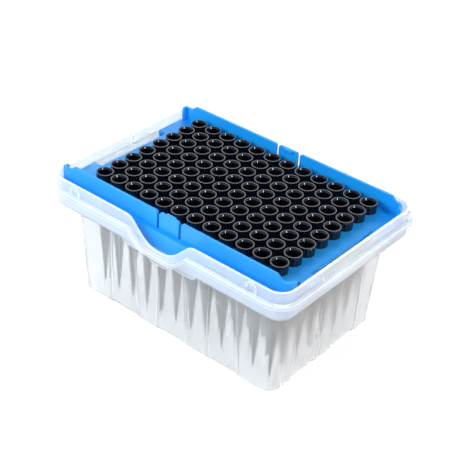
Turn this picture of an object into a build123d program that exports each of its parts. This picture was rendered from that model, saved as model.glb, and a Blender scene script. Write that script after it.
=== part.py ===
from build123d import *
import os
from math import atan2, cos, degrees, radians, sin, tan

# A box of pipette tips, in mm: a frosted container, the tray that rests in it and 96 tips.
# The origin is the middle of the container's footprint, on the table. +X runs along the
# rows of twelve tips, -Y is the long front side and +Z is up.

# The grid of tips that every part follows
COLUMNS = 12
ROWS = 8
PITCH = 9.0
GRID_Y = 2.4  # the grid sits this far behind the middle of the box
END_COLUMN = PITCH * (COLUMNS - 1) / 2  # from the middle of the grid
END_ROW = PITCH * (ROWS - 1) / 2

# Tips, as radii and as heights above the fine end
TIP_LENGTH = 59.1
COLLAR = 4.5
COLLAR_GAP = 1.2  # between neighbouring collars
COLLAR_R = (PITCH - COLLAR_GAP) / 2
LEAD_R = COLLAR_R - 0.75
LEAD = 0.7
MOUTH_R = COLLAR_R - 1.15
MOUTH = 3.6
NECK_R = COLLAR_R - 0.7
KNEE = 30.0
KNEE_R = NECK_R - 0.65
KNEE_BORE_R = KNEE_R - 0.55
END_R = 0.43
END_BORE_R = 0.2

# Levels, from the floor of the container up
WALL = 1.2  # the container's body
TIP_CLEAR = 1.4  # under the tips
SKIRT = 8.7  # what the tray stands on
SHELF = 1.3
TIP_END = WALL + TIP_CLEAR
DECK_TOP = TIP_END + TIP_LENGTH - COLLAR
SHELF_TOP = DECK_TOP - SKIRT
RIM_LOW = SHELF_TOP - SHELF
RIM_TOP = DECK_TOP + 4.6

# The rim that the tray goes into
RIM_WALL = 1.3
RIM_R = 7.8
RIM_IN_R = RIM_R - RIM_WALL

# Tray, as half sizes. Its right corners are rounder than its left ones, as a key.
TRAY_PAST_X = 10.6  # how far the tray runs past the collars
TRAY_PAST_Y = 7.5
TRAY_X = END_COLUMN + COLLAR_R + TRAY_PAST_X
TRAY_Y = END_ROW + COLLAR_R + TRAY_PAST_Y
TRAY_WALL = 1.2
LEFT_SHARPER = 4.5  # how much less round a corner is than the rim outside it
RIGHT_SHARPER = 2.5
LEFT_R = RIM_IN_R - LEFT_SHARPER
RIGHT_R = RIM_IN_R - RIGHT_SHARPER
DECK = 1.5
DECK_EDGE = 0.7  # the rounding of the stepped-back edges
DECK_RIB = 1.0
DECK_RIB_DEEP = 3.0
HOLE_GAP = 0.15  # round the neck of a tip
RECESS_X = TRAY_X - 4.0  # the short edges step back to here between the ears
RECESS_Y = TRAY_Y / 2
KEY_NOTCH = (29.5, 33.7)  # a notch in the front right ear runs between these
FENCE_Y = TRAY_Y - 2.0  # outer face of the long fences on the deck
FENCE_HIGH = 8.3
FENCE_LOW = 6.2  # at the ears
FENCE_SLOPE = (TRAY_X - 7.0, TRAY_X - 4.8)  # the fence falls between these
FENCE_LEFT = (0.6, 2.9)  # corner radius, and how far the fence turns in along the ear
FENCE_RIGHT = (4.0, 4.5)
TAB = 10.9
SLIT = 1.4
SLIT_LIP = 1.0
CATCH = (5.0, 0.8, 1.2)
GATE = (-3.3, SKIRT - 3.8, 0.5, 0.25)  # x, height above the shelf, radius and depth

# Container: a fluted, drafted body under a wider rim, as half sizes
RIM_X = TRAY_X + 0.7 + RIM_WALL
RIM_Y = TRAY_Y + 3.0 + RIM_WALL
RIM_FILLET = 2.2
LIP_FILLET = 0.4
BASE_X = RIM_X - 9.15  # on the table
BASE_Y = RIM_Y - 9.8
BASE_R = 6.3
BASE_FILLET = 1.5
HOLLOW_FILLET = 0.8  # inside, round the floor
DRAFT = 2.6  # degrees, every wall of the body
FLANGE_OUT = 2.1  # how far the flange stands out of the rim
FLANGE = 1.7
FLANGE_TOP = RIM_TOP - 5.4

# Flutes: panels set back a little from the walls, wider towards the table
FLUTE = 0.65
FLUTE_EDGE = 1.2  # the width of the slanted step on each side of a flute
FLUTE_LOW_WIDTH = 16.5
FLUTE_TOP_WIDTH = 11.8
LONG_FLUTES = (-29.4, 0.0, 29.4)
SHORT_FLUTES = (-14.7, 14.7)

# Thumb notch: the lip, the flange and the lower edge all dip in the middle of a long side,
# each as (level in the dip, half width there, fillet there, fillet at the shoulder)
LIP_DIP = (RIM_TOP - 10.9, 6.1, 14.0, 6.0)
FLANGE_DIP = (FLANGE_TOP - 6.7, 9.4, 8.0, 3.0)
APRON_LOW = RIM_LOW - 0.6
APRON_X = 21.4
APRON_R = 3.2
APRON_DIP = (APRON_LOW - 2.4, 4.2, 4.0, 3.0)

# Ribs inside the long walls, guides for the tray inside the rim, and arches outside it
RIB_X = 31.9
RIB = 0.8
RIB_DEEP = 1.2
RIB_LOW = 19.0
GUIDE_X = 37.5
GUIDE = 0.9
GUIDE_DEEP = 1.2
GUIDE_TAPER = 5.0  # a guide leans back into the rim above its full depth
ARCH_X = 49.7
ARCH_WIDTH = 5.6
ARCH_LINE = 0.9
ARCH_OUT = 0.5
ARCH_TOP = RIM_TOP - 0.6
PIP = (0.5, 0.3)  # radius and depth of the dot inside an arch
PIP_TOP = ARCH_TOP - 1.6

BEYOND = 20.0  # how far a cutter runs past what it cuts


def block(half_x, half_y, radius, low, high, taper=0.0):
    """An upright block with rounded corners, from LOW to HIGH."""
    outline = Pos(0, 0, low) * RectangleRounded(2 * half_x, 2 * half_y, radius)
    return extrude(outline, amount=high - low, taper=taper)


def bent(corners):
    """The area inside a line of corners, each as (x, y, fillet)."""
    area = Polygon(*[(x, y) for x, y, _ in corners], align=None)
    for x, y, radius in corners:
        if radius:
            area = fillet(area.vertices().sort_by_distance((x, y))[0], radius)
    return area


def dip(level, foot, half, foot_r, shoulder_r):
    """The corners of a dip from LEVEL to FOOT with sides at 45 degrees, from left to right."""
    left = [(foot - half - level, level, shoulder_r), (-half, foot, foot_r)]
    return left + [(-x, y, radius) for x, y, radius in reversed(left)]


def front(area, near, far):
    """AREA, drawn as seen from the front, as a solid NEAR to FAR mm in front of the middle."""
    return Pos(0, -near, 0) * extrude(Plane.XZ * area, amount=far - near)


def side_rib(corners, width):
    """CORNERS, drawn across the box with its front on the left, as a rib WIDTH wide."""
    return extrude(Plane.YZ * Polygon(*corners, align=None), amount=width / 2, both=True)


def around(shape, x):
    """Copies of a shape at X and -X on the front, and the same on the back."""
    return [Rot(0, 0, turn) * Pos(side * x, 0, 0) * shape for turn in (0, 180) for side in (-1, 1)]


def mirrored(shape):
    """A shape of the front, and the same behind the middle."""
    return [shape, mirror(shape, Plane.XZ)]


def flute(along, wall, inset):
    """A cutter for one flute in the front wall, WALL mm from the middle on the table.

    It runs twice as deep as the flute, and its sides slant out towards the front.
    """
    lean = radians(DRAFT)
    slope = atan2(FLUTE, FLUTE_EDGE)
    face = Plane(
        origin=(along, inset + 2 * FLUTE - wall, 0),
        x_dir=(1, 0, 0),
        z_dir=(0, -cos(lean), -sin(lean)),
    )
    wider = inset * tan(slope / 2) - FLUTE_EDGE
    low = FLUTE_LOW_WIDTH / 2 + wider
    top = FLUTE_TOP_WIDTH / 2 + wider
    high = SHELF_TOP + SHELF
    panel = Polygon((-low, 0), (low, 0), (top, high), (-top, high), align=None)
    return extrude(face * panel, amount=3 * FLUTE, taper=degrees(slope) - 90)


def drafted(inset, low, high, under):
    """An upright block that widens upwards, INSET mm inside the walls, rounded UNDER its edge."""
    grow = low * tan(radians(DRAFT)) - inset
    outline = Pos(0, 0, low) * Rectangle(2 * (BASE_X + grow), 2 * (BASE_Y + grow))
    form = extrude(outline, amount=high - low, taper=-DRAFT)
    upright = form.edges().filter_by(lambda e: e.bounding_box().size.Z > (high - low) / 2)
    form = fillet(upright, BASE_R - inset)
    return fillet(form.faces().sort_by(Axis.Z)[0].edges(), under)


def body_form(inset, low, high, under):
    """The body's outside, or its hollow when INSET is the wall."""
    form = drafted(inset, low, high, under)
    for turn in (0, 180):
        for along in LONG_FLUTES:
            form -= Rot(0, 0, turn) * flute(along, BASE_Y, inset)
    for turn in (90, 270):
        for along in SHORT_FLUTES:
            form -= Rot(0, 0, turn) * flute(along, BASE_X, inset)
    return form + drafted(inset + FLUTE, low, high, under)


def above(level, dipping):
    """Everything above LEVEL, and above the line of the dip in the middle of the long sides."""
    side = RIM_X + BEYOND
    top = RIM_TOP + BEYOND
    line = [(-side, level, 0), *dip(level, *dipping), (side, level, 0)]
    area = bent([(-side, top, 0), *line, (side, top, 0)])
    return extrude(Plane.XZ * area, amount=RIM_Y + BEYOND, both=True)


def rim():
    """The upright rim, with the shelf that the tray stands on."""
    ring = block(RIM_X, RIM_Y, RIM_R, RIM_LOW, RIM_TOP)
    ring = fillet(ring.faces().sort_by(Axis.Z)[0].edges(), RIM_FILLET)
    ring -= block(RIM_X - RIM_WALL, RIM_Y - RIM_WALL, RIM_IN_R, SHELF_TOP, RIM_TOP)
    ring -= above(RIM_TOP, LIP_DIP)
    lip = LIP_DIP[0] - LIP_FILLET
    return fillet(ring.edges().filter_by(lambda e: e.bounding_box().min.Z > lip), LIP_FILLET)


def apron():
    """The plate that hangs from the front of the rim, under the notch."""
    top = RIM_LOW + RIM_FILLET + SHELF
    low = [(-APRON_X, APRON_LOW, APRON_R), *dip(APRON_LOW, *APRON_DIP), (APRON_X, APRON_LOW, APRON_R)]
    area = bent([(-APRON_X, top, 0), *low, (APRON_X, top, 0)])
    return front(area, RIM_Y - RIM_WALL, RIM_Y)


def flange():
    """The band round the rim, which follows the dip of the notch."""
    foot, *dipping = FLANGE_DIP
    low = foot - FLANGE
    band_r = RIM_R + FLANGE_OUT
    band = block(RIM_X + FLANGE_OUT, RIM_Y + FLANGE_OUT, band_r, low, FLANGE_TOP)
    root = RIM_WALL / 2
    band -= block(RIM_X - root, RIM_Y - root, RIM_R - root, low, FLANGE_TOP)
    band &= above(FLANGE_TOP - FLANGE, (low, *dipping))
    return band - above(FLANGE_TOP, FLANGE_DIP)


def arch():
    """A raised arch with a dot in it, on the front of the rim, which stands on the flange."""
    out = RIM_Y + ARCH_OUT
    root = RIM_Y - RIM_WALL / 2
    foot = (Align.CENTER, Align.MIN)
    shape = 0
    for half in (ARCH_WIDTH / 2, ARCH_WIDTH / 2 - ARCH_LINE):
        middle = ARCH_TOP - ARCH_WIDTH / 2
        area = Pos(0, FLANGE_TOP) * Rectangle(2 * half, middle - FLANGE_TOP, align=foot)
        area += Pos(0, middle) * Circle(half)
        shape = shape - front(area, root, out) if shape else front(area, root, out)
    radius, deep = PIP
    return shape + front(Pos(0, PIP_TOP) * Circle(radius), root, RIM_Y + deep)


def guide():
    """A thin rib inside the front of the rim, which keeps the tray in the middle."""
    root = RIM_WALL / 2 - RIM_Y
    edge = RIM_WALL - RIM_Y + GUIDE_DEEP
    top = RIM_TOP - RIM_WALL
    corners = [(root, SHELF_TOP - SHELF / 2), (edge, SHELF_TOP - SHELF / 2), (edge, top - GUIDE_TAPER)]
    return side_rib([*corners, (RIM_WALL - RIM_Y, top), (root, top)], GUIDE)


def wall_rib():
    """An upright rib inside the front wall, from the shelf down to a slanted foot."""
    lean = tan(radians(DRAFT))
    low = WALL / 2 - BASE_Y - RIB_LOW * lean
    top = WALL / 2 - BASE_Y - RIM_LOW * lean
    reach = top + WALL / 2 + RIB_DEEP
    foot = RIB_LOW + reach - low
    return side_rib([(low, RIB_LOW), (reach, foot), (reach, RIM_LOW), (top, RIM_LOW)], RIB)


def container():
    shape = rim() + mirrored(apron()) + flange()
    shape += body_form(0, 0, RIM_LOW + SHELF / 2, BASE_FILLET)
    shape -= body_form(WALL, WALL, SHELF_TOP + SHELF, HOLLOW_FILLET)
    shape += around(arch(), ARCH_X)
    return shape + around(guide(), GUIDE_X) + around(wall_rib(), RIB_X)


def grid():
    """Where the tips stand, column by column from the left and row by row from the front."""
    return [
        [Pos(column * PITCH - END_COLUMN, row * PITCH - END_ROW + GRID_Y, 0) for row in range(ROWS)]
        for column in range(COLUMNS)
    ]


def keyed(half_x, half_y, left_r, right_r):
    """An oblong with smaller radii at its left corners than at its right ones."""
    left = [(-half_x, half_y, left_r), (-half_x, -half_y, left_r)]
    return bent([*left, (half_x, -half_y, right_r), (half_x, half_y, right_r)])


def tray_outline():
    """The tray seen from above: a keyed oblong, stepped back between its four ears."""
    outline = keyed(TRAY_X, TRAY_Y, LEFT_R, RIGHT_R)
    middle = RECESS_X + BEYOND / 2
    for side in (-1, 1):
        outline -= Pos(side * middle, 0) * Rectangle(BEYOND, 2 * RECESS_Y)
    near, far = KEY_NOTCH
    return outline - Pos(middle, -(near + far) / 2) * Rectangle(BEYOND, far - near)


def deck():
    """The tray's top plate, with its stepped-back edges rounded."""
    plate = extrude(Pos(0, 0, DECK_TOP - DECK) * tray_outline(), amount=DECK)
    edges = plate.edges().filter_by(Axis.Y).filter_by(lambda e: abs(e.center().X) < RECESS_X + 0.1)
    return fillet(edges.group_by(Axis.Z)[-1], DECK_EDGE)


def skirt():
    """The wall under the tray's long edges and ears, which stands on the container's shelf."""
    ring = extrude(Pos(0, 0, SHELF_TOP) * tray_outline(), amount=SKIRT)
    radii = (LEFT_R - TRAY_WALL, RIGHT_R - TRAY_WALL)
    hollow = keyed(TRAY_X - TRAY_WALL, TRAY_Y - TRAY_WALL, *radii)
    ring -= extrude(Pos(0, 0, SHELF_TOP) * hollow, amount=SKIRT)
    x, height, radius, deep = GATE
    mark = front(Pos(x, SHELF_TOP + height) * Circle(radius), TRAY_Y - TRAY_WALL / 2, TRAY_Y + deep)
    return ring + mark


def slit():
    """A cutter for the slit beside a snap tab, with rounded lips at the top of the fence."""
    top = DECK_TOP + FENCE_HIGH
    up = (Align.CENTER, Align.MIN)
    area = Pos(0, DECK_TOP) * Rectangle(SLIT, FENCE_HIGH, align=up)
    area += Pos(0, top) * Rectangle(SLIT + 4 * SLIT_LIP, 1, align=up)
    lips = area.vertices().filter_by(lambda v: abs(v.Y - top) < 1e-6 and abs(v.X) < SLIT)
    return front(fillet(lips, SLIT_LIP), FENCE_Y - 2 * TRAY_WALL, FENCE_Y + TRAY_WALL)


def fence():
    """The wall on the front of the deck, with a snap tab, which turns in along both ears."""
    (left_r, left_in), (right_r, right_in) = FENCE_LEFT, FENCE_RIGHT
    base = Pos(0, 0, DECK_TOP - DECK / 2)
    ring = extrude(base * keyed(TRAY_X, FENCE_Y, left_r, right_r), amount=FENCE_HIGH + DECK / 2)
    hollow = keyed(TRAY_X - TRAY_WALL, FENCE_Y - TRAY_WALL, 0, right_r - TRAY_WALL)
    ring -= extrude(base * hollow, amount=FENCE_HIGH + DECK)
    high = DECK_TOP + FENCE_HIGH
    low = DECK_TOP + FENCE_LOW
    near, far = FENCE_SLOPE
    right = [(TRAY_X, 0), (TRAY_X, low), (far, low), (near, high)]
    profile = Polygon(*right, *[(-x, z) for x, z in reversed(right)], align=None)
    shape = ring & front(profile, FENCE_Y - right_in, FENCE_Y)
    shape -= Pos(-TRAY_X, -FENCE_Y + left_in + BEYOND / 2, high) * Box(BEYOND, BEYOND, 4 * BEYOND)
    middle = (TAB + SLIT) / 2
    for side in (-1, 1):
        shape -= Pos(side * middle, 0, 0) * slit()
    width, deep, tall = CATCH
    catch = Box(width, 2 * deep, tall, align=(Align.CENTER, Align.CENTER, Align.MAX))
    return shape + Pos(0, TRAY_WALL - FENCE_Y, high) * catch


def tray():
    shape = deck() + skirt() + mirrored(fence())
    rib = Box(2 * RECESS_X - 2 * DECK, DECK_RIB, DECK_RIB_DEEP)
    for row in range(1, ROWS):
        y = row * PITCH - END_ROW - PITCH / 2 + GRID_Y
        shape += Pos(0, y, DECK_TOP - DECK - DECK_RIB_DEEP / 2) * rib
    hole = Pos(0, 0, DECK_TOP) * Cylinder(NECK_R + HOLE_GAP, 4 * DECK)
    return shape - [place * hole for column in grid() for place in column]


def tip():
    """One tip, turned about its own axis, with its fine end at height 0."""
    shoulder = TIP_LENGTH - COLLAR
    mouth = TIP_LENGTH - LEAD
    body = [(END_R, 0), (KNEE_R, KNEE), (NECK_R, shoulder)]
    collar = [(COLLAR_R, shoulder), (COLLAR_R, TIP_LENGTH), (LEAD_R, TIP_LENGTH), (MOUTH_R, mouth)]
    hollow = [(MOUTH_R, mouth - MOUTH), (KNEE_BORE_R, KNEE), (END_BORE_R, 0)]
    return revolve(Plane.XZ * Polygon(*body, *collar, *hollow, align=None), Axis.Z)


def write(shape, name):
    export_step(shape, f"parts/{name}.step")


def main():
    os.makedirs("parts", exist_ok=True)
    write(container(), "container")
    write(tray(), "tip_rack")
    one = Pos(0, 0, TIP_END) * tip()
    for number, places in enumerate(grid(), start=1):
        write(Compound([place * one for place in places]), f"tips_column_{number:02d}")


main()
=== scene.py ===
from math import cos, radians, sin

import bpy
from mathutils import Matrix, Vector

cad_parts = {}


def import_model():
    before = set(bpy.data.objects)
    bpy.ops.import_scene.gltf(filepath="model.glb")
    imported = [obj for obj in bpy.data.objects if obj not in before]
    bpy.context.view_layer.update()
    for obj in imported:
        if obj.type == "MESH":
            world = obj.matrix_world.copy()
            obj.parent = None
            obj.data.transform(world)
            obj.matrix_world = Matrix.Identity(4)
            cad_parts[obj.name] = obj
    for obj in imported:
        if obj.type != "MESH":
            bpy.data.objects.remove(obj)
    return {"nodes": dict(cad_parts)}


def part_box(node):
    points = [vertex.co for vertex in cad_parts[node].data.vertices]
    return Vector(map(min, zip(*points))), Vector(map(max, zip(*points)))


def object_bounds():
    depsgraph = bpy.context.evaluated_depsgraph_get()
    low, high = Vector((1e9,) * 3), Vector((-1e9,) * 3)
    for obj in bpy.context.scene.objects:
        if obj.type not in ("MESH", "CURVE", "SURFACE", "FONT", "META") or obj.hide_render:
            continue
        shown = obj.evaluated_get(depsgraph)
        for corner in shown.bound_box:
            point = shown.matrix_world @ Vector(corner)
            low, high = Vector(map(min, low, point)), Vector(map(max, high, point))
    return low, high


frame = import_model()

CAD_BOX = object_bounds()

# A box of pipette tips on white paper. Every piece of it comes from the frame: this script
# gives the pieces their materials, and adds the floor, the lamps and the camera.
# Lengths are in metres and angles in degrees. A FADE is the span in which one look turns
# into the next.

# Camera
AZIMUTH = 38.0  # from the front towards +X
ELEVATION = 34.0
ROLL = 3.7
DISTANCE = 0.5014
AIM_AT = (0.0, 0.0024, 0.0617)  # the lamps face it too
AIM_SHIFT = (-0.0003, -0.0214)  # from there, along the picture's own axes
LENS = 87.2  # millimetres, as is the sensor
SENSOR = 36.0

NOISE_SPAN = (0.3, 0.7)  # what nearly all of a noise pattern is between

# Frosted plastic. CLEAR is its transmission: the rest is milky
CLEAR_WALL = 0.79
# The end walls are clearer than the others, so they show darker: a painted shade
END_WALL_PAINTED_SHADE_CLEAR = 0.82
CLEAR_RIM = 0.60
LIP_PAINTED_HIGHLIGHT_CLEAR = 0.10  # the rim's upward faces, made milky as a painted highlight
FLANGE_PAINTED_HIGHLIGHT_CLEAR = 0.45  # the flange's upward faces, milkier as a painted highlight
# Edges are milky white, partly the plastic's own milkiness and partly a painted highlight
EDGE_MILK_AND_HIGHLIGHT_CLEAR = 0.15
CLEAR_FOOT = 0.75  # the edges next to the table
EDGE = 0.0004  # about how wide a white edge is, partly milkiness and partly a painted highlight
FLANGE_OUT = 0.0021  # how far the container's flange stands out of its rim
END_WALL_FADE = (0.4, 0.9)  # by how far a face is turned to the left or right: the end walls are rougher, and clearer as a painted shade
PAINTED_HIGHLIGHT_TOP_FADE = (0.3, 0.8)  # by how far it is turned up: the rim's upward faces get the painted highlight
EDGE_FADE = (0.90, 1.0)  # from an edge to a plain face, by edge_turn
FOOT_FADE = (0.001, 0.004)  # up from the table
RIM_FADE = (-0.004, 0.001)  # up from the shelf that the tray stands on
FLANGE_FADE = (0.0, 0.0001)  # out from the rim
ROUGH_WALL = 0.11
ROUGH_END_WALL = 0.22
UNEVEN = (0.9, 1.3)  # times the roughness
WALL_COLOR = (0.965, 0.982, 1.0, 1)
RIM_COLOR = (0.87, 0.93, 1.0, 1)
FROST_INDEX = 1.13  # lower than the plastic's own, so that thin walls don't go black
FROST_SCATTER = 0.004  # how far light spreads in the milky share
FROST_GRAIN = 0.000002

# The tray's plastic
TRAY_COLORS = ((0.008, 0.290, 0.780, 1), (0.010, 0.320, 0.820, 1))
TRAY_ROUGH = (0.34, 0.44)
TRAY_GRAIN = 0.00002

# The tips' plastic, with ribs round each collar and a pale ring on each mouth's top face, which
# is a painted reflection
PITCH = 0.009  # between the tips
TIP_COLOR = (0.001, 0.003, 0.008, 1)
TIP_ROUGH = (0.08, 0.15)
TIP_GRAIN = 0.00001
# The pale ring on each mouth's top face is a painted reflection on the black plastic
MOUTH_REFLECTION_COLOR = (0.145, 0.118, 0.098, 1)
MOUTH_REFLECTION_FADE = (-0.0005, -0.00035)  # out from the collar's radius
MOUTH_REFLECTION_TOP_FADE = (-0.00012, -0.00002)  # up from the mouth
RIBS = 14.0
RIB_DEPTH = 0.0002
RIB_FADE = (-0.0004, -0.0002)  # out from the collar's radius
RIB_TOP_FADE = (-0.0012, -0.0001)  # up from the mouth

# The sky and the paper
SKY = 0.9
SKY_OVERHEAD = SKY * 0.45
SKY_FADE = (0.1, 0.8)  # by how far up a direction is
SKY_COLOR = (0.76, 0.88, 1.0, 1)
WHITE = (1, 1, 1, 1)
PAPER_SIZE = 3.0
PAPER_GAP = 0.00005  # under the box
PAPER_COLOR = (0.95, 0.95, 0.95, 1)
PAPER_SHADE = (0.15, 0.15, 0.15, 1)  # what takes the shadow where the paper is seen
PAPER_GLOW = 0.88


# Node helpers

def material(name):
    """A new material with its node tree and its Principled node."""
    made = bpy.data.materials.new(name)
    made.use_nodes = True
    return made, made.node_tree, made.node_tree.nodes["Principled BSDF"]


def empty_tree(owner):
    """The node tree of a new material or world, with nothing in it."""
    owner.use_nodes = True
    owner.node_tree.nodes.clear()
    return owner.node_tree


def node(tree, kind, **values):
    """A new node, with VALUES set on its properties."""
    made = tree.nodes.new(kind)
    for key, value in values.items():
        setattr(made, key, value)
    return made


def colored(tree, kind, color):
    """A new shader node of one COLOR."""
    made = node(tree, kind)
    made.inputs["Color"].default_value = color
    return made


def noise(tree, scale, detail, stretch=(1, 1, 1)):
    """A noise pattern fixed in the object's own frame, STRETCH times as fine along each axis."""
    where = node(tree, "ShaderNodeTexCoord")
    mapping = node(tree, "ShaderNodeMapping")
    mapping.inputs["Scale"].default_value = stretch
    tree.links.new(where.outputs["Object"], mapping.inputs["Vector"])
    pattern = node(tree, "ShaderNodeTexNoise")
    pattern.inputs["Scale"].default_value = scale
    pattern.inputs["Detail"].default_value = detail
    tree.links.new(mapping.outputs["Vector"], pattern.inputs["Vector"])
    return pattern.outputs["Fac"]


def bump(tree, height, depth, onto=None):
    """A bump from HEIGHT, DEPTH metres deep, and ONTO another bump where one is given."""
    made = node(tree, "ShaderNodeBump")
    made.inputs["Distance"].default_value = depth
    tree.links.new(height, made.inputs["Height"])
    if onto:
        tree.links.new(onto, made.inputs["Normal"])
    return made.outputs["Normal"]


def ranged(tree, value, span, low, high, start=0.0):
    """VALUE mapped from SPAN, counted from START, to LOW to HIGH, each a number or a socket."""
    made = node(tree, "ShaderNodeMapRange")
    made.inputs["From Min"].default_value = start + span[0]
    made.inputs["From Max"].default_value = start + span[1]
    tree.links.new(value, made.inputs["Value"])
    for key, end in (("To Min", low), ("To Max", high)):
        if isinstance(end, float):
            made.inputs[key].default_value = end
        else:
            tree.links.new(end, made.inputs[key])
    return made.outputs["Result"]


def blend(tree, factor, low, high):
    """LOW where FACTOR is 0 and HIGH where it is 1."""
    return ranged(tree, factor, (0.0, 1.0), low, high)


def tone(tree, factor, first, second):
    """The colour FIRST where FACTOR is 0 and SECOND where it is 1."""
    made = node(tree, "ShaderNodeMix", data_type="RGBA")
    made.inputs["A"].default_value = first
    made.inputs["B"].default_value = second
    tree.links.new(factor, made.inputs["Factor"])
    return made.outputs["Result"]


def calc(tree, operation, first, second=None):
    """A Math node on a socket, with a second socket or number."""
    made = node(tree, "ShaderNodeMath", operation=operation)
    tree.links.new(first, made.inputs[0])
    if isinstance(second, float):
        made.inputs[1].default_value = second
    elif second:
        tree.links.new(second, made.inputs[1])
    return made.outputs[0]


def calc_vector(tree, operation, first, *others):
    """A Vector Math node on a socket and on other vectors, which are fixed."""
    made = node(tree, "ShaderNodeVectorMath", operation=operation)
    tree.links.new(first, made.inputs[0])
    for place, other in enumerate(others, 1):
        made.inputs[place].default_value = other
    return made.outputs[0]


def axes(tree, vector):
    """The X, Y and Z of a vector."""
    made = node(tree, "ShaderNodeSeparateXYZ")
    tree.links.new(vector, made.inputs["Vector"])
    return made.outputs


def along(tree, output, axis):
    """One axis of the Geometry node's OUTPUT."""
    return axes(tree, node(tree, "ShaderNodeNewGeometry").outputs[output])[axis]


def edge_turn(tree):
    """1 on plain faces, and less within EDGE of an edge."""
    soft = node(tree, "ShaderNodeBevel", samples=6)
    soft.inputs["Radius"].default_value = EDGE
    sharp = node(tree, "ShaderNodeNewGeometry")
    dot = node(tree, "ShaderNodeVectorMath", operation="DOT_PRODUCT")
    tree.links.new(soft.outputs["Normal"], dot.inputs[0])
    tree.links.new(sharp.outputs["Normal"], dot.inputs[1])
    return calc(tree, "ABSOLUTE", dot.outputs["Value"])


# Materials

def past_rim(tree):
    """How far outside the container's rim a point is: only its flange is past it."""
    past = []
    for axis, outside in zip("XY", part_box("container")[1]):
        reach = calc(tree, "ABSOLUTE", along(tree, "Position", axis))
        past.append(calc(tree, "SUBTRACT", reach, outside - FLANGE_OUT))
    return calc(tree, "MAXIMUM", *past)


def frosted_plastic():
    """Natural polypropylene: seen through softly and milkier in the rim. Its white edges are
    partly its own milkiness and partly a painted highlight, the rim's milky upward faces are a
    painted highlight, and its clearer end walls are a painted shade.
    """
    mat, tree, shader = material("frosted_polypropylene")
    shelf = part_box("tip_rack")[0][2]
    level = along(tree, "Position", "Z")
    rim = ranged(tree, level, RIM_FADE, 0.0, 1.0, start=shelf)
    end = calc(tree, "ABSOLUTE", along(tree, "Normal", "X"))
    # End walls are made clearer, so they read darker: a painted shade
    wall_and_end_shade = ranged(tree, end, END_WALL_FADE, CLEAR_WALL, END_WALL_PAINTED_SHADE_CLEAR)
    # The rim's upward faces are made milkier: a painted highlight of the light from above
    flange = ranged(tree, past_rim(tree), FLANGE_FADE, LIP_PAINTED_HIGHLIGHT_CLEAR, FLANGE_PAINTED_HIGHLIGHT_CLEAR)
    painted_top_highlight = blend(tree, rim, wall_and_end_shade, flange)
    side = blend(tree, rim, wall_and_end_shade, CLEAR_RIM)
    face = ranged(tree, along(tree, "Normal", "Z"), PAINTED_HIGHLIGHT_TOP_FADE, side, painted_top_highlight)
    # White edges: partly the plastic's milkiness, partly a painted highlight; next to the table
    # they stay clear
    edge = ranged(tree, level, FOOT_FADE, CLEAR_FOOT, EDGE_MILK_AND_HIGHLIGHT_CLEAR)
    clear = ranged(tree, edge_turn(tree), EDGE_FADE, edge, face)
    tree.links.new(clear, shader.inputs["Transmission Weight"])
    rough = ranged(tree, end, END_WALL_FADE, ROUGH_WALL, ROUGH_END_WALL)
    flow = noise(tree, scale=60, detail=2, stretch=(1, 1, 0.25))
    uneven = ranged(tree, flow, NOISE_SPAN, *UNEVEN)
    tree.links.new(calc(tree, "MULTIPLY", rough, uneven), shader.inputs["Roughness"])
    tree.links.new(tone(tree, rim, WALL_COLOR, RIM_COLOR), shader.inputs["Base Color"])
    shader.inputs["IOR"].default_value = FROST_INDEX
    shader.inputs["Subsurface Weight"].default_value = 1.0
    shader.inputs["Subsurface Radius"].default_value = (1.0, 1.0, 1.0)
    shader.inputs["Subsurface Scale"].default_value = FROST_SCATTER
    grain = noise(tree, scale=1200, detail=3)
    tree.links.new(bump(tree, grain, FROST_GRAIN), shader.inputs["Normal"])
    return mat


def satin_plastic():
    """The tray's blue polypropylene, with a fine spark texture."""
    mat, tree, shader = material("satin_blue_plastic")
    flow = noise(tree, scale=45, detail=2)
    tree.links.new(tone(tree, flow, *TRAY_COLORS), shader.inputs["Base Color"])
    tree.links.new(ranged(tree, flow, NOISE_SPAN, *TRAY_ROUGH), shader.inputs["Roughness"])
    grain = noise(tree, scale=3500, detail=3)
    tree.links.new(bump(tree, grain, TRAY_GRAIN), shader.inputs["Normal"])
    return mat


def from_axis(tree, x, y):
    """Where a point is, seen from above, from the axis of its own tip.

    X and Y are those of the first tip's axis. The tips stand on a grid, so a point is first
    wrapped into that tip's square.
    """
    half = PITCH / 2
    where = node(tree, "ShaderNodeNewGeometry").outputs["Position"]
    wrapped = calc_vector(tree, "WRAP", where, (x + half, y + half, 1), (x - half, y - half, -1))
    flat = calc_vector(tree, "MULTIPLY", wrapped, (1, 1, 0))
    return calc_vector(tree, "SUBTRACT", flat, (x, y, 0))


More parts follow.
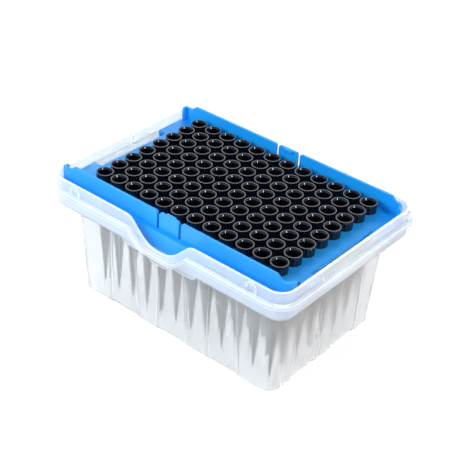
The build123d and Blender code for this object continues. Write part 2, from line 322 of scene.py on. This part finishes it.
def glossy_black():
    """The tips' carbon-filled black plastic, with the ribs, and a pale ring on each mouth that
    is a painted reflection.
    """
    mat, tree, shader = material("glossy_black_plastic")
    low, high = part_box("tips_column_01")
    radius = (high[0] - low[0]) / 2
    mouth = high[2]
    place = from_axis(tree, low[0] + radius, low[1] + radius)
    length = node(tree, "ShaderNodeVectorMath", operation="LENGTH")
    tree.links.new(place, length.inputs[0])
    away = length.outputs["Value"]
    level = along(tree, "Position", "Z")
    # Painted reflection: each mouth's top face gets a pale ring
    outer = ranged(tree, away, MOUTH_REFLECTION_FADE, 0.0, 1.0, start=radius)
    ring = ranged(tree, level, MOUTH_REFLECTION_TOP_FADE, 0.0, outer, start=mouth)
    tree.links.new(tone(tree, ring, TIP_COLOR, MOUTH_REFLECTION_COLOR), shader.inputs["Base Color"])
    flow = noise(tree, scale=400, detail=2, stretch=(1, 1, 0.2))
    tree.links.new(ranged(tree, flow, NOISE_SPAN, *TIP_ROUGH), shader.inputs["Roughness"])
    x, y, _ = axes(tree, place)
    turn = calc(tree, "MULTIPLY", calc(tree, "ARCTAN2", y, x), RIBS)
    wave = ranged(tree, calc(tree, "SINE", turn), (-1.0, 1.0), 0.0, 1.0)
    collar = ranged(tree, away, RIB_FADE, 0.0, wave, start=radius)
    ribs = ranged(tree, level, RIB_TOP_FADE, collar, 0.0, start=mouth)
    ribbed = bump(tree, ribs, RIB_DEPTH)
    grain = noise(tree, scale=900, detail=2)
    tree.links.new(bump(tree, grain, TIP_GRAIN, onto=ribbed), shader.inputs["Normal"])
    return mat


def dress(name, mat):
    """Gives a CAD node the material MAT."""
    piece = frame["nodes"][name]
    if not piece.material_slots:
        piece.data.materials.append(mat)
    for held in piece.material_slots:
        held.material = mat


# Staging

def seen(tree, *others):
    """1 for camera rays, and for the OTHERS, which show the background too."""
    path = node(tree, "ShaderNodeLightPath")
    total = path.outputs["Is Camera Ray"]
    for other in others:
        total = calc(tree, "MAXIMUM", total, path.outputs[other])
    return total


def surface(tree, shown, where, plain, out):
    """Sends the shader SHOWN to the node OUT where WHERE is 1, and PLAIN elsewhere."""
    mix = node(tree, "ShaderNodeMixShader")
    tree.links.new(where, mix.inputs[0])
    tree.links.new(plain.outputs[0], mix.inputs[1])
    tree.links.new(shown.outputs[0], mix.inputs[2])
    tree.links.new(mix.outputs[0], out.inputs["Surface"])


def world():
    """An even, cool sky that is weaker overhead. It looks white where it is seen."""
    made = bpy.data.worlds.new("studio")
    tree = empty_tree(made)
    height = axes(tree, node(tree, "ShaderNodeTexCoord").outputs["Generated"])["Z"]
    strength = ranged(tree, height, SKY_FADE, SKY, SKY_OVERHEAD)
    sky = colored(tree, "ShaderNodeBackground", SKY_COLOR)
    tree.links.new(strength, sky.inputs["Strength"])
    white = colored(tree, "ShaderNodeBackground", WHITE)
    out = node(tree, "ShaderNodeOutputWorld")
    surface(tree, white, seen(tree, "Is Transmission Ray"), sky, out)
    bpy.context.scene.world = made


def floor():
    """White paper. It glows where it is seen, and still takes a soft shadow there."""
    mesh = bpy.data.meshes.new("floor")
    half = PAPER_SIZE / 2
    corners = [(-half, -half, 0), (half, -half, 0), (half, half, 0), (-half, half, 0)]
    mesh.from_pydata(corners, [], [(0, 1, 2, 3)])
    plane = bpy.data.objects.new("floor", mesh)
    bpy.context.collection.objects.link(plane)
    plane.location.z = CAD_BOX[0][2] - PAPER_GAP
    mat = bpy.data.materials.new("paper")
    tree = empty_tree(mat)
    plain = colored(tree, "ShaderNodeBsdfDiffuse", PAPER_COLOR)
    shade = colored(tree, "ShaderNodeBsdfDiffuse", PAPER_SHADE)
    glow = node(tree, "ShaderNodeEmission")
    glow.inputs["Strength"].default_value = PAPER_GLOW
    both = node(tree, "ShaderNodeAddShader")
    tree.links.new(shade.outputs[0], both.inputs[0])
    tree.links.new(glow.outputs[0], both.inputs[1])
    out = node(tree, "ShaderNodeOutputMaterial")
    surface(tree, both, seen(tree, "Is Glossy Ray", "Is Transmission Ray"), plain, out)
    mesh.materials.append(mat)


def outward(azimuth, elevation):
    """The direction from the box that AZIMUTH and ELEVATION give."""
    around = radians(azimuth)
    up = radians(elevation)
    return Vector((sin(around) * cos(up), -cos(around) * cos(up), sin(up)))


def lamp(name, azimuth, elevation, distance, size, power, color, glossy=True):
    """A soft lamp that faces the box. Where GLOSSY is False, nothing mirrors it."""
    away = outward(azimuth, elevation)
    data = bpy.data.lights.new(name, "AREA")
    data.shape = "RECTANGLE"
    data.size, data.size_y = size
    data.energy = power
    data.color = color
    made = bpy.data.objects.new(name, data)
    made.location = Vector(AIM_AT) + away * distance
    made.rotation_euler = away.to_track_quat("Z", "Y").to_euler()
    made.visible_glossy = glossy
    bpy.context.collection.objects.link(made)


def lamps():
    """A cool key, a narrow warm lamp from the right that the mouths mirror, and one behind."""
    lamp(
        "key", azimuth=-40, elevation=30, distance=0.8, size=(0.5, 0.5),
        power=6.6, color=(0.86, 0.94, 1.0), glossy=False,
    )
    lamp(
        "side", azimuth=84, elevation=30, distance=1.0, size=(0.10, 0.4),
        power=6.2, color=(1.0, 0.86, 0.74),
    )
    lamp(
        "back", azimuth=218, elevation=22, distance=0.8, size=(0.8, 0.5),
        power=5.5, color=(0.96, 0.98, 1.0), glossy=False,
    )


def camera():
    """The camera. ACROSS, UPWARD and BACK are its own axes."""
    roll = radians(ROLL)
    back = outward(AZIMUTH, ELEVATION)
    right = Vector((0, 0, 1)).cross(back).normalized()
    up = back.cross(right)
    across = right * cos(roll) + up * sin(roll)
    upward = up * cos(roll) - right * sin(roll)
    data = bpy.data.cameras.new("camera")
    data.lens = LENS
    data.sensor_width = SENSOR
    made = bpy.data.objects.new("camera", data)
    place = Vector(AIM_AT) + back * DISTANCE + across * AIM_SHIFT[0] + upward * AIM_SHIFT[1]
    turn = Matrix((across, upward, back)).transposed().to_4x4()
    made.matrix_world = Matrix.Translation(place) @ turn
    bpy.context.collection.objects.link(made)
    bpy.context.scene.camera = made


def main():
    dress("container", frosted_plastic())
    dress("tip_rack", satin_plastic())
    black = glossy_black()
    for name in frame["nodes"]:
        if name.startswith("tips_column"):
            dress(name, black)
    world()
    floor()
    lamps()
    camera()
    bpy.context.scene.view_settings.view_transform = "Standard"


main()
